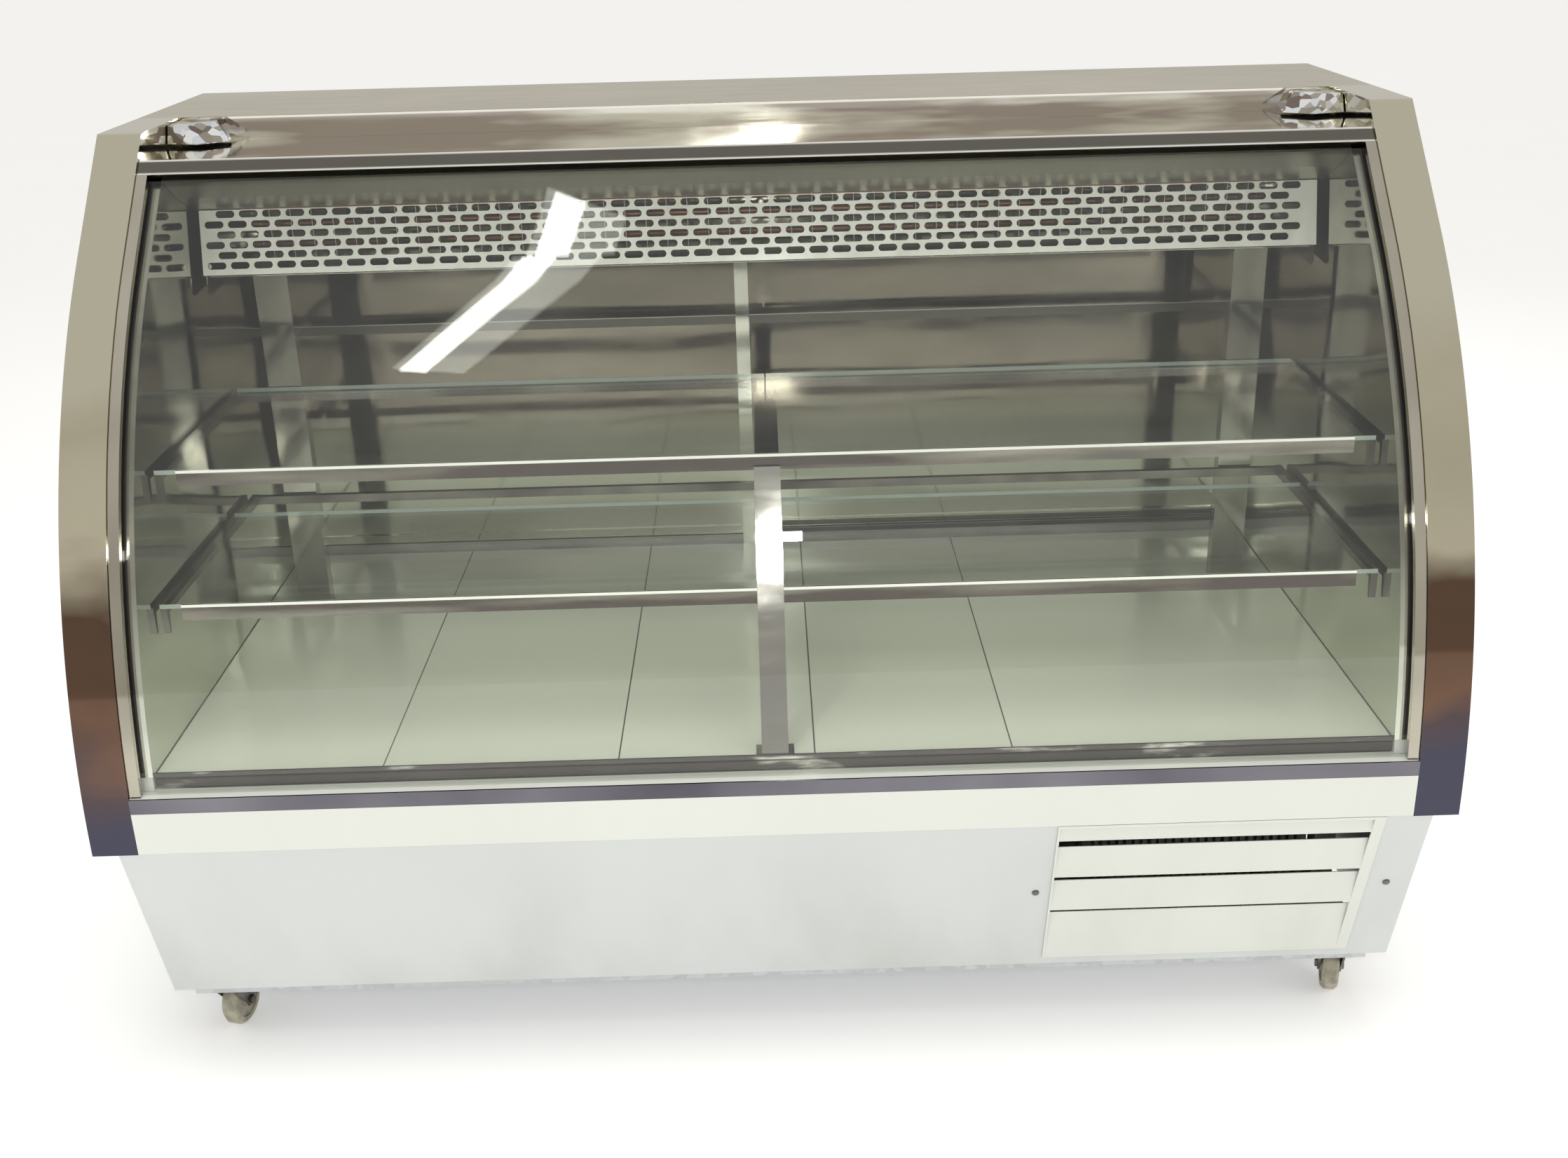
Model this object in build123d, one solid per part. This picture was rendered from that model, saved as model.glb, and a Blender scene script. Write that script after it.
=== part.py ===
from build123d import *
from math import asin, atan2, cos, degrees, pi, radians, sin
import os

# Refrigerated deli case with a curved front glass, millimetres.
# X runs along the counter, the customer stands at -Y, the seller at +Y, Z is up.
# The origin is on the floor, below the middle of the case.

# overall size
length = 1800.0
depth = 926.0
height = 1255.0
half_length = length / 2
front_y = -depth / 2
back_y = depth / 2
body_back_y = back_y - 33.0
sheet = 1.2
clearance = 0.4

# side profile: level top, straight fall, long arc, short upright end
top_corner_y = -15.0
fall_angle = radians(44.5)
fall_run = 208.0
cap_bottom_z = 389.0

# end walls
cap_width = 60.0
cap_inner_x = half_length - cap_width
inner_x = 812.0
bead_width = 15.0
base_x = 868.0

# top
fascia_y = 147.0
fascia_drop = 30.0
lip_run = 24.0

# front glass
glass_inset = 12.0
glass_thickness = 6.0
glass_x = cap_inner_x - 1.0
ledge_z = 470.0

# floor of the display
deck_z = 490.0
deck_front_y = -432.0
deck_thickness = 4.0
deck_seams = (-515.0, -206.0, 52.0, 312.0)
deck_gap = 2.0
floor_bottom_z = 390.0
door_plane_y = 345.0

# shelves: top of glass, front edge, rear edge
shelf_glass = 6.0
shelf_half = 806.0
shelves = {"upper": (855.0, -271.0, 118.0), "lower": (689.0, -331.0, 17.0)}
rail_half = 777.0
rail_height = 22.0
arm_x = 803.0
arm_width = 9.0
arm_depth = 14.0
upright_x = 733.0
upright_width = 50.0
upright_y = 120.0
upright_depth = 24.0
upright_top_z = 1036.0
strip_x = (-46.0, -24.0)
strip_top_z = 1060.0
post_half = 17.5
post_thickness = 5.0

# evaporator under the canopy
grille_top = (60.0, 1136.0)
grille_bottom = (37.0, 1045.0)
grille_half = 803.0
slot_length = 27.0
slot_width = 10.0
slot_pitch = 33.3
slot_rows = 6
slot_row_pitch = 14.5
coil_tube_r = 5.0
fin_count = 48

# rear
header_z = 893.0
door_thickness = 18.0
door_planes = (352.0, 379.0)
door_meeting = (-22.0, -48.0)
door_bottom_z = 508.0
stile = 24.0

# base
base_bottom_z = 106.0
base_front_top_y = -459.0
base_front_bottom_y = -366.0
pan_bottom_z = 97.0
pan_half = 840.0
louvre_x = (371.0, 806.0)
louvre_slats = ((391.0, 360.0), (345.0, 289.0), (279.0, 222.0), (214.0, 127.0))

# casters
caster_x = 810.0
caster_front_y = -316.0
caster_rear_y = 372.0
caster_offset = 24.0
wheel_r = 37.5
wheel_width = 24.0
axle_r = 4.0
brake_pin = (49.0, 77.0)
brake_pin_r = 2.5
casters = {
    "front_left": (-caster_x, caster_front_y, 77.0),
    "front_right": (caster_x, caster_front_y, 76.0),
    "rear_left": (-caster_x, caster_rear_y, 128.0),
    "rear_right": (caster_x, caster_rear_y, 205.0),
}
braked = ("front_left", "front_right")

# condensing unit
fan_centre = (592.0, -262.0, 232.0)
fan_r = 92.0
condenser_half = 160.0
condenser_y = (-318.0, -282.0)
compressor_centre = (600.0, 60.0)

# controls on the rear
control_x = (560.0, 790.0)
control_z = (232.0, 356.0)
control_front = 6.0
knob_at = (630.0, 296.0)
switch_at = (715.0, 296.0)

fall = (-cos(fall_angle), -sin(fall_angle))
inward = (sin(fall_angle), -cos(fall_angle))
bend_start = (top_corner_y + fall_run * fall[0], height + fall_run * fall[1])
bend_r = (bend_start[0] - front_y) / (1 - sin(fall_angle))
bend_centre = (bend_start[0] + bend_r * inward[0], bend_start[1] + bend_r * inward[1])
crest_run = fascia_drop / sin(fall_angle)
glass_run = crest_run + lip_run
base_tilt = degrees(atan2(base_front_bottom_y - base_front_top_y, cap_bottom_z - base_bottom_z))


def block(x, y, z):
    """A box from its lowest and highest x, y and z."""
    size = Box(x[1] - x[0], y[1] - y[0], z[1] - z[0])
    return Pos((x[0] + x[1]) / 2, (y[0] + y[1]) / 2, (z[0] + z[1]) / 2) * size


def along_x(outline, x):
    """A prism with its outline in Y and Z, from x[0] to x[1]."""
    return Pos(x[0], 0, 0) * extrude(Plane.YZ * outline, x[1] - x[0])


def mirrored(shape):
    return mirror(shape, Plane.YZ)


def polygon(points):
    return make_face(Polyline(points, close=True))


def fall_point(run, inset):
    """A point on the straight fall of the front, run along from the top corner."""
    y = top_corner_y + run * fall[0] + inset * inward[0]
    z = height + run * fall[1] + inset * inward[1]
    return (y, z)


def corner_point(inset):
    """Where the level top meets the fall, at an inset from the outline."""
    return fall_point(inset * (1 - cos(fall_angle)) / sin(fall_angle), inset)


def front_curve(start, inset, end_z):
    """Edges down the front from a point on the fall to end_z, and the point they end at."""
    radius = bend_r - inset
    rise = max(0.0, end_z - bend_centre[1])
    first = pi / 2 + fall_angle
    last = pi - asin(rise / radius)

    def on_bend(angle):
        return (bend_centre[0] + radius * cos(angle), bend_centre[1] + radius * sin(angle))

    bend = ThreePointArc(on_bend(first), on_bend((first + last) / 2), on_bend(last))
    edges = [Line(start, on_bend(first)), bend]
    foot = on_bend(last)
    if end_z < bend_centre[1]:
        edges.append(Line(foot, (foot[0], end_z)))
        foot = (foot[0], end_z)
    return edges, foot


def front_band(outer, inner, start_run, end_z):
    """The outline of a strip that follows the front between two insets."""
    outer_start = fall_point(start_run, outer)
    inner_start = fall_point(start_run, inner)
    outer_edges, outer_foot = front_curve(outer_start, outer, end_z)
    inner_edges, inner_foot = front_curve(inner_start, inner, end_z)
    ends = [Line(outer_start, inner_start), Line(outer_foot, inner_foot)]
    return make_face(outer_edges + inner_edges + ends)


def capped_band(outer, inner, top_y, end_z):
    """A strip along the level top from top_y, round the top corner and down the front."""
    edges = []
    corners = []
    for inset in (outer, inner):
        corner = corner_point(inset)
        curve, foot = front_curve(corner, inset, end_z)
        edges += [Line((top_y, height - inset), corner)] + curve
        corners.append(((top_y, height - inset), foot))
    edges.append(Line(corners[0][0], corners[1][0]))
    edges.append(Line(corners[0][1], corners[1][1]))
    return make_face(edges)


def wall_outline(inset, bottom_z, rear_y, start_run=0.0):
    """The outline of an end wall, solid behind the front curve."""
    start = corner_point(inset) if start_run == 0.0 else fall_point(start_run, inset)
    curve, foot = front_curve(start, inset, bottom_z)
    top = [Line((rear_y, start[1]), start)]
    rest = [Line(foot, (rear_y, bottom_z)), Line((rear_y, bottom_z), (rear_y, start[1]))]
    return make_face(top + curve + rest)


# ---- end walls ----

def end_panel():
    """Insulated wall, thicker where it stands outside the glass."""
    outer = along_x(wall_outline(sheet + clearance, cap_bottom_z, body_back_y), (
        cap_inner_x + sheet + clearance, half_length - sheet - clearance))
    inset = glass_inset + 10
    start_run = (fascia_drop + 10 - inset * cos(fall_angle)) / sin(fall_angle)
    inner = along_x(wall_outline(inset, ledge_z + clearance, body_back_y, start_run), (
        inner_x + sheet + clearance, cap_inner_x + sheet + clearance))
    return outer + inner


def end_liner():
    """Polished skin of the wall, with a front flange behind the glass."""
    inset = glass_inset + 10 - clearance
    face = along_x(wall_outline(inset, deck_z, door_plane_y, crest_run), (inner_x, inner_x + sheet))
    flange = along_x(front_band(inset - sheet, inset, crest_run, deck_z), (inner_x, cap_inner_x))
    return face + flange


def end_cap():
    """Polished channel over the front edge of the wall."""
    front = along_x(capped_band(0, sheet, fascia_y, cap_bottom_z), (cap_inner_x, half_length))
    outer = along_x(capped_band(sheet / 2, 22, fascia_y, cap_bottom_z), (half_length - sheet, half_length))
    recess = along_x(polygon([
        (fascia_y, height - sheet / 2), corner_point(sheet / 2), fall_point(crest_run, sheet / 2),
        fall_point(crest_run, 10), (fascia_y, height - fascia_drop - 2)]),
        (cap_inner_x, cap_inner_x + sheet))
    inner = along_x(front_band(sheet / 2, glass_inset - 1, crest_run - 6, cap_bottom_z),
                    (cap_inner_x, cap_inner_x + sheet))
    return front + outer + recess + inner


def glass_bead():
    """Half-round bright strip that holds one end of the glass."""
    return along_x(front_band(3, glass_inset - clearance, glass_run + clearance, ledge_z + clearance),
                   (cap_inner_x - bead_width, cap_inner_x - clearance))


# ---- top ----

def top_panel():
    plate = block((-half_length, half_length), (fascia_y, back_y), (height - sheet, height))
    back = block((-half_length, half_length), (back_y - sheet, back_y), (height - 30, height))
    side = block((half_length - sheet, half_length), (fascia_y + 1, back_y), (height - 22, height))
    return plate + back + side + mirrored(side)


def top_fascia():
    """Folded sheet: a step down, a level shelf and a lip over the top edge of the glass."""
    x = (-cap_inner_x + clearance, cap_inner_x - clearance)
    crest = fall_point(crest_run, 4)
    step_y = fascia_y - clearance
    step = block(x, (step_y - sheet, step_y), (crest[1] - sheet, height - clearance))
    shelf = block(x, (crest[0], fascia_y - clearance), (crest[1] - sheet, crest[1]))
    lip = along_x(polygon([
        crest, fall_point(glass_run, 4),
        fall_point(glass_run, 4 + sheet), fall_point(crest_run, 4 + sheet * 1.6)]), x)
    return step + shelf + lip


def canopy_liner():
    """Sloping ceiling from the top of the glass to the evaporator grille."""
    front = fall_point(glass_run, glass_inset + glass_thickness + 3)
    x = (-inner_x + clearance, inner_x - clearance)
    bend = (front[0] + 48, front[1] - 30)
    outline = [front, bend, grille_top]
    upper = [(y, z + sheet * 1.3) for y, z in reversed(outline)]
    slope = along_x(polygon(outline + upper), x)
    inset = glass_inset + glass_thickness + 2
    flange = along_x(polygon([
        fall_point(crest_run + 10, inset), fall_point(glass_run + 1, inset),
        fall_point(glass_run + 1, inset + 2), fall_point(crest_run + 10, inset + 2)]), x)
    return slope + flange


def front_glass():
    band = front_band(glass_inset, glass_inset + glass_thickness, crest_run + 6, ledge_z + clearance)
    return along_x(band, (-glass_x, glass_x))


# ---- evaporator ----

def grille_frame():
    """Origin at the grille's middle, X along it, Z out of its face."""
    middle = ((grille_top[0] + grille_bottom[0]) / 2, (grille_top[1] + grille_bottom[1]) / 2)
    up = (0, grille_top[0] - grille_bottom[0], grille_top[1] - grille_bottom[1])
    normal = Vector(1, 0, 0).cross(Vector(*up))
    return Plane(origin=(0, middle[0], middle[1]), x_dir=(1, 0, 0), z_dir=normal)


def evaporator_grille():
    rise = Vector(grille_top[0] - grille_bottom[0], grille_top[1] - grille_bottom[1]).length
    columns = int((2 * grille_half - 40) / slot_pitch)
    sheet_face = Rectangle(2 * grille_half, rise - 2)
    places = []
    for row in range(slot_rows):
        shift = slot_pitch / 2 if row % 2 else 0.0
        v = (row - (slot_rows - 1) / 2) * slot_row_pitch + 3.6
        for column in range(columns):
            u = (column - columns / 2) * slot_pitch + shift
            places.append((u, v))
    slots = [Pos(u, v) * SlotOverall(slot_length, slot_width) for u, v in places]
    plate = extrude(grille_frame() * (sheet_face - slots), 1.0)
    return plate


def evaporator_coil():
    """Two serpentine copper rows with aluminium fins between end plates."""
    tube_y = (110.0, 150.0)
    tube_z = (1068.0, 1098.0, 1128.0)
    reach = inner_x - 60
    solids = []
    for y in tube_y:
        for z in tube_z:
            solids.append(Pos(0, y, z) * Rot(0, 90, 0) * Cylinder(coil_tube_r, 2 * reach))
    for x in (-reach, reach):
        turn = extrude(Plane.YZ * (SlotOverall(40 + 2 * coil_tube_r, 2 * coil_tube_r)), sheet * 4)
        for z in tube_z:
            solids.append(Pos(x - (0 if x > 0 else sheet * 4), sum(tube_y) / 2, z) * turn)
    tubes = solids[0].fuse(*solids[1:])
    holes = [Pos(y - 130, z - 1098) * Circle(coil_tube_r + 0.3) for y in tube_y for z in tube_z]
    fin = extrude(Plane.YZ * (Rectangle(84, 88) - holes), 0.8)
    span = 2 * (reach - 40)
    fins = [Pos(-span / 2 + span * n / (fin_count - 1), 130, 1098) * fin for n in range(fin_count)]
    return Compound(children=[tubes] + fins)


def evaporator_tray():
    """Drip tray under the coil, hung from an end plate at each wall."""
    front_y, z = grille_bottom
    outline = polygon([
        (front_y + 3, z - 2), (260, z - 14), (260, z + 20),
        (258.8, z + 20), (258.8, z - 12.6), (front_y + 3, z - 0.6)])
    tray = along_x(outline, (-inner_x + 12, inner_x - 12))
    plate = polygon([
        (front_y + 1, z - 24), (front_y + 12, z - 30), (260, z - 16),
        (260, 1150), (grille_top[0] + 6, 1150), (grille_top[0] + 4, grille_top[1])])
    hanger = along_x(plate, (inner_x - 12.5, inner_x - 10.5))
    return tray + hanger + mirrored(hanger)


# ---- display floor ----

def deck_panels():
    edges = (-inner_x + clearance,) + deck_seams + (inner_x - clearance,)
    panels = []
    for left, right in zip(edges[:-1], edges[1:]):
        x = (left + deck_gap / 2, right - deck_gap / 2)
        panels.append(block(x, (deck_front_y + 2, door_plane_y - 2), (deck_z - deck_thickness, deck_z)))
    return Compound(children=panels)


def insulated_floor():
    """Foamed slab, narrower where it rises between the end walls."""
    y = (deck_front_y + clearance, body_back_y)
    lower_x = cap_inner_x - 1
    upper_x = inner_x - clearance
    lower = block((-lower_x, lower_x), y, (floor_bottom_z, ledge_z))
    return lower + block((-upper_x, upper_x), y, (ledge_z, deck_z - deck_thickness))


def kerb_angle():
    """Polished angle along the front of the display floor."""
    x = (-inner_x, inner_x)
    riser = block(x, (deck_front_y - sheet, deck_front_y), (ledge_z + clearance, deck_z + 3))
    flange = block(x, (deck_front_y - sheet, deck_front_y + 1.6), (deck_z + 1.8, deck_z + 3))
    return riser + flange


def glass_ledge():
    """White sill that the glass stands on."""
    x = (-cap_inner_x + clearance, cap_inner_x - clearance)
    top = block(x, (front_y + 3, deck_front_y), (ledge_z - 4, ledge_z))
    leg = block(x, (deck_front_y - 3, deck_front_y), (floor_bottom_z, ledge_z))
    return top + leg


def bumper_trim():
    x = (-cap_inner_x + clearance, cap_inner_x - clearance)
    face = block(x, (front_y, front_y + sheet), (ledge_z - 20, ledge_z + 0.6))
    lip = block(x, (front_y, front_y + 2.6), (ledge_z - 0.6, ledge_z + 0.6))
    return face + lip


def front_bumper():
    """Painted rail below the glass, with a folded lower edge."""
    x = (-cap_inner_x + clearance, cap_inner_x - clearance)
    top_z = ledge_z - 20 - clearance
    face = block(x, (front_y, front_y + 1.5), (cap_bottom_z + 1, top_z))
    lower = block(x, (front_y, front_y + 18), (cap_bottom_z + 1, cap_bottom_z + 2.5))
    upper = block(x, (front_y, front_y + 18), (top_z - 1.5, top_z))
    return face + lower + upper


# ---- shelves ----

def centre_post():
    """Flat polished strut that leans back from the kerb to the upper shelf."""
    foot = (deck_front_y + 4, deck_z + clearance)
    top_z, shelf_y, _ = shelves["upper"]
    head = (shelf_y - 3.4 - post_thickness, top_z - rail_height + 6)
    strut = along_x(polygon([
        foot, (foot[0] + post_thickness, foot[1]), (head[0] + post_thickness, head[1]), head]),
        (-post_half, post_half))
    pad = block((-25, 25), (foot[0] - 2, foot[0] + 26), (foot[1], foot[1] + 2))
    return strut + pad


def shelf_uprights():
    """Two channels that carry the shelf frames, and a slim strip where the doors meet."""
    half = upright_width / 2
    z = (deck_z + clearance, upright_top_z)
    web = block((upright_x - half, upright_x + half), (upright_y, upright_y + 2), z)
    sides = [
        block((x, x + 2), (upright_y, upright_y + upright_depth), (deck_z + clearance, upright_top_z))
        for x in (upright_x - half, upright_x + half - 2)
    ]
    channel = web + sides[0] + sides[1]
    strip = block(strip_x, (door_plane_y - 4, door_plane_y - clearance), (deck_z + clearance, strip_top_z))
    return Compound(children=[channel, mirrored(channel), strip])


def shelf_frame(name):
    """Three arms joined by a rear bar, each end arm with a hooked nose."""
    top_z, shelf_y, _ = shelves[name]
    under = top_z - shelf_glass - clearance
    rear = (upright_y - 9, upright_y)
    nose = polygon([
        (rear[1], under), (shelf_y + 3, under), (shelf_y + 3, under - 36), (shelf_y + 7, under - 36),
        (shelf_y + 12, under - arm_depth * 0.6), (rear[1], under - arm_depth)])
    arm = along_x(nose, (arm_x - arm_width / 2, arm_x + arm_width / 2))
    rear_bar = block((-arm_x, arm_x), rear, (under - arm_depth, under - 1))
    middle = block((-16, 16), (shelf_y + 24, rear[1]), (under - 4, under))
    return rear_bar + arm + mirrored(arm) + middle


def shelf_rail(name):
    """Bright front rail: a face in front of the glass, flush with its top, and a lower return."""
    top_z, shelf_y, _ = shelves[name]
    outline = polygon([
        (shelf_y - 3, top_z), (shelf_y - 0.5, top_z),
        (shelf_y - 0.5, top_z - 3), (shelf_y - 1.5, top_z - 4),
        (shelf_y - 1.5, top_z - rail_height + 1.5), (shelf_y + 20, top_z - rail_height + 1.5),
        (shelf_y + 20, top_z - rail_height), (shelf_y - 3, top_z - rail_height)])
    return along_x(outline, (-rail_half, rail_half))


def shelf_pane(name, side):
    top_z, shelf_y, rear = shelves[name]
    x = (1.0, shelf_half) if side == "right" else (-shelf_half, -1.0)
    return block(x, (shelf_y, rear), (top_z - shelf_glass, top_z))


# ---- rear ----

def rear_header():
    """Fixed insulated panel above the doors."""
    x = (-inner_x + clearance, inner_x - clearance)
    panel = block(x, (door_plane_y, body_back_y), (header_z, height - sheet - clearance))
    return panel


def door_tracks():
    """Top and bottom double channels for the sliding doors."""
    x = (-inner_x + clearance, inner_x - clearance)
    first, second = door_planes
    walls = (first - 5.0, first + door_thickness + 3.5, second + door_thickness + 3.0)
    bottom = block(x, (walls[0], walls[2] + 2), (deck_z, deck_z + 3))
    top = block(x, (walls[0], walls[2] + 2), (header_z - 3, header_z - clearance))
    for y in walls:
        bottom += block(x, (y, y + 2), (deck_z, door_bottom_z - 3))
        top += block(x, (y, y + 2), (header_z - 16, header_z - clearance))
    sill = block(x, (door_plane_y, body_back_y), (deck_z - deck_thickness + clearance, deck_z))
    return Compound(children=[bottom + sill, top])


def rear_door(side):
    """Framed door with a polished face and a pull on its outer stile."""
    left = side == "left"
    plane = door_planes[0] if left else door_planes[1]
    x = (-inner_x + 2, door_meeting[0]) if left else (door_meeting[1], inner_x - 2)
    y = (plane, plane + door_thickness)
    z = (deck_z + 6, header_z - 6)
    frame = block(x, y, z)
    frame -= block((x[0] + stile, x[1] - stile), (y[0] - 1, y[1] + 1), (z[0] + stile, z[1] - stile))
    infill = block((x[0] + stile, x[1] - stile), (y[0] + 4, y[1] - 4), (z[0] + stile, z[1] - stile))
    pull_x = x[0] + stile / 2 if left else x[1] - stile / 2
    recess = block((pull_x - 6, pull_x + 6), (y[1] - 6, y[1] + 1), (640, 740))
    return frame + infill - recess


def rear_lower_panel():
    x = (-base_x + 2, base_x - 2)
    panel = block(x, (body_back_y - sheet, body_back_y), (base_bottom_z + 2, cap_bottom_z - 2))
    for n in range(7):
        z = 170 + n * 24
        for column in range(4):
            centre = -620 + column * 110
            panel -= Pos(centre, body_back_y, z) * Box(84, 6, 8)
    window = block((control_x[0] + 12, control_x[1] - 12), (body_back_y - 4, body_back_y + 4),
                   (control_z[0] + 12, control_z[1] - 12))
    return panel - window


def control_panel():
    """Plate with the thermostat, the main switch and the inlet gland."""
    y = (body_back_y + 0.2, body_back_y + control_front)
    plate = block(control_x, y, control_z)
    plate -= Pos(knob_at[0], y[1], knob_at[1]) * Rot(90, 0, 0) * Cylinder(3.05, 30)
    plate -= block((switch_at[0] - 10.6, switch_at[0] + 10.6), (y[0] - 1, y[1] + 1),
                   (switch_at[1] - 15.6, switch_at[1] + 15.6))
    ring = Cylinder(9, 10) - Cylinder(4, 12)
    gland = Pos(control_x[1] - 28, y[1] + 5, knob_at[1]) * Rot(90, 0, 0) * ring
    return plate + gland


def thermostat_knob():
    face_y = body_back_y + control_front
    dial = Pos(knob_at[0], face_y + 8.5, knob_at[1]) * Rot(90, 0, 0) * Cylinder(17, 15)
    grip = Pos(knob_at[0], face_y + 18, knob_at[1]) * Box(5, 8, 30)
    shaft = Pos(knob_at[0], face_y - 6, knob_at[1]) * Rot(90, 0, 0) * Cylinder(3.0, 16)
    return dial + grip + shaft


def power_switch():
    """Rocker that turns about a level axis in the control plate."""
    y = body_back_y + 1.0
    rocker = polygon([(y - 6, -9), (y - 6, 9), (y + 4, 12), (y + 6.2, 0), (y + 9.5, -12)])
    return Pos(0, 0, switch_at[1]) * along_x(rocker, (switch_at[0] - 10, switch_at[0] + 10))


# ---- base ----

def base_front_at(z):
    """Y of the sloping base front at a height."""
    share = (cap_bottom_z - z) / (cap_bottom_z - base_bottom_z)
    return base_front_top_y + share * (base_front_bottom_y - base_front_top_y)


def sloping(low_z, high_z, back=sheet, lift=0.0):
    """Outline of a strip that lies on the base front between two heights."""
    low_y = base_front_at(low_z) - lift
    high_y = base_front_at(high_z) - lift
    return polygon([(low_y, low_z), (high_y, high_z), (high_y + back, high_z), (low_y + back, low_z)])


def base_front_panel():
    """Sloping white front with an opening for the louvre."""
    face = along_x(sloping(base_bottom_z, cap_bottom_z - clearance), (-base_x, base_x))
    opening = along_x(sloping(louvre_slats[-1][1] - 1, louvre_slats[0][0] - 4, back=12, lift=6),
                      (louvre_x[0] + 1.5, louvre_x[1] - 6))
    fold_x = base_x - 2
    top_fold = block((-fold_x, fold_x), (base_front_top_y, base_front_top_y + 22),
                     (cap_bottom_z - clearance - sheet, cap_bottom_z - clearance))
    return face - opening + top_fold


def louvre_panel():
    """Screwed-on louvre with four folded slats."""
    outer = (louvre_slats[-1][1] - 6, louvre_slats[0][0] - 3)
    lift = 2.6
    frame = along_x(sloping(outer[0], outer[1], back=2.0, lift=lift), louvre_x)
    hole = sloping(outer[0] + 7, outer[1] - 5, back=12, lift=lift + 4)
    frame -= along_x(hole, (louvre_x[0] + 3, louvre_x[1] - 15))
    for top_z, low_z in louvre_slats:
        upper_z = min(top_z, outer[1] - 1)
        top_y = base_front_at(upper_z) + 2.5
        low_y = base_front_at(low_z) - lift
        slat = polygon([
            (top_y, upper_z), (low_y, low_z), (low_y + 9, low_z + 1),
            (low_y + 9, low_z + 2.6), (low_y + 1.6, low_z + 2.6), (top_y + 1.6, upper_z)])
        frame += along_x(slat, (louvre_x[0] + 2, louvre_x[1] - 14))
    return frame


def base_side():
    outline = polygon([
        (base_front_at(cap_bottom_z) + 1.6, cap_bottom_z - clearance),
        (base_front_at(base_bottom_z) + 1.6, base_bottom_z),
        (body_back_y - 2, base_bottom_z), (body_back_y - 2, cap_bottom_z - clearance)])
    return along_x(outline, (base_x - sheet, base_x))


def base_frame():
    """Bottom tray with a welded post at each corner, which carry the display floor."""
    front = base_front_at(base_bottom_z) + 3
    back = body_back_y - 4
    plate = block((-pan_half, pan_half), (front, back), (pan_bottom_z, pan_bottom_z + 2))
    walls = [
        block((-pan_half, pan_half), (front, front + 2), (pan_bottom_z, base_bottom_z + 14)),
        block((-pan_half, pan_half), (back - 2, back), (pan_bottom_z, base_bottom_z + 14)),
        block((-pan_half, -pan_half + 2), (front, back), (pan_bottom_z, base_bottom_z + 14)),
        block((pan_half - 2, pan_half), (front, back), (pan_bottom_z, base_bottom_z + 14)),
    ]
    posts = [
        block((x, x + 30), (y, y + 30), (pan_bottom_z + 1, floor_bottom_z))
        for x in (-790.0, 760.0) for y in (-330.0, 390.0)
    ]
    return plate + walls + posts


def panel_screws():
    """Pan heads on the base front, one each side of the louvre, and on the rear panel."""
    head = Cylinder(5, 2.4)
    head = fillet(head.edges().group_by(Axis.Z)[-1], 1.6)
    z = 258.0
    screws = []
    for x in (louvre_x[0] - 20, louvre_x[1] + 28):
        screws.append(Pos(x, base_front_at(z), z) * Rot(90 + base_tilt, 0, 0) * Pos(0, 0, 1.2) * head)
    for x in (-base_x + 24, base_x - 24):
        screws.append(Pos(x, body_back_y + 1.2, z) * Rot(-90, 0, 0) * head)
    return Compound(children=screws)


# ---- condensing unit ----

def compressor():
    """Hermetic shell on a foot plate."""
    x, y = compressor_centre
    shell = Pos(x, y, 190) * Cylinder(72, 110) + Pos(x, y, 245) * Sphere(72).split(Plane.XY, keep=Keep.TOP)
    shell = fillet(shell.edges().group_by(Axis.Z)[0], 12)
    foot = block((x - 95, x + 95), (y - 70, y + 70), (pan_bottom_z + 2.4, pan_bottom_z + 5.4))
    legs = [Pos(x + dx, y + dy, 118) * Cylinder(11, 34) for dx in (-50, 50) for dy in (-38, 38)]
    return foot + legs + shell


def condenser():
    """Finned copper coil behind the louvre."""
    x = (fan_centre[0] - condenser_half, fan_centre[0] + condenser_half)
    y = condenser_y
    tubes = [
        Pos(fan_centre[0], (y[0] + y[1]) / 2, z) * Rot(0, 90, 0) * Cylinder(4.8, 2 * condenser_half + 12)
        for z in range(132, 340, 25)
    ]
    fins = block(x, y, (118, 346))
    for n in range(26):
        gap_x = x[0] + 12 + n * 11.6
        fins -= block((gap_x, gap_x + 5), (y[0] - 1, y[0] + 12), (122, 342))
    return fins + tubes


def fan_shroud():
    """Plate with a round mouth, and the motor on three spokes behind the blades."""
    cx, cy, cz = fan_centre
    plate = block((cx - condenser_half, cx + condenser_half), (cy - 14, cy - 11), (110, 354))
    mouth = Pos(cx, cy - 12, cz) * Rot(90, 0, 0) * Cylinder(fan_r + 5, 20)
    ring = Pos(cx, cy + 2, cz) * Rot(90, 0, 0) * (Cylinder(fan_r + 7, 30) - Cylinder(fan_r + 5, 40))
    motor = Pos(cx, cy + 48, cz) * Rot(90, 0, 0) * (Cylinder(34, 50) - Pos(0, 0, 15) * Cylinder(4.05, 30))
    spokes = []
    for turn in (90, 210, 330):
        leg = Pos(0, (fan_r + 34) / 2 - 6, 0) * Box(8, fan_r + 6 - 34 + 14, 4)
        spokes.append(Pos(cx, cy + 24, cz) * Rot(90, 0, 0) * Rot(0, 0, turn) * leg)
    rim = Pos(cx, cy + 20, cz) * Rot(90, 0, 0) * (Cylinder(fan_r + 7, 12) - Cylinder(fan_r + 1, 14))
    return plate - mouth + ring + rim + spokes + motor


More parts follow.
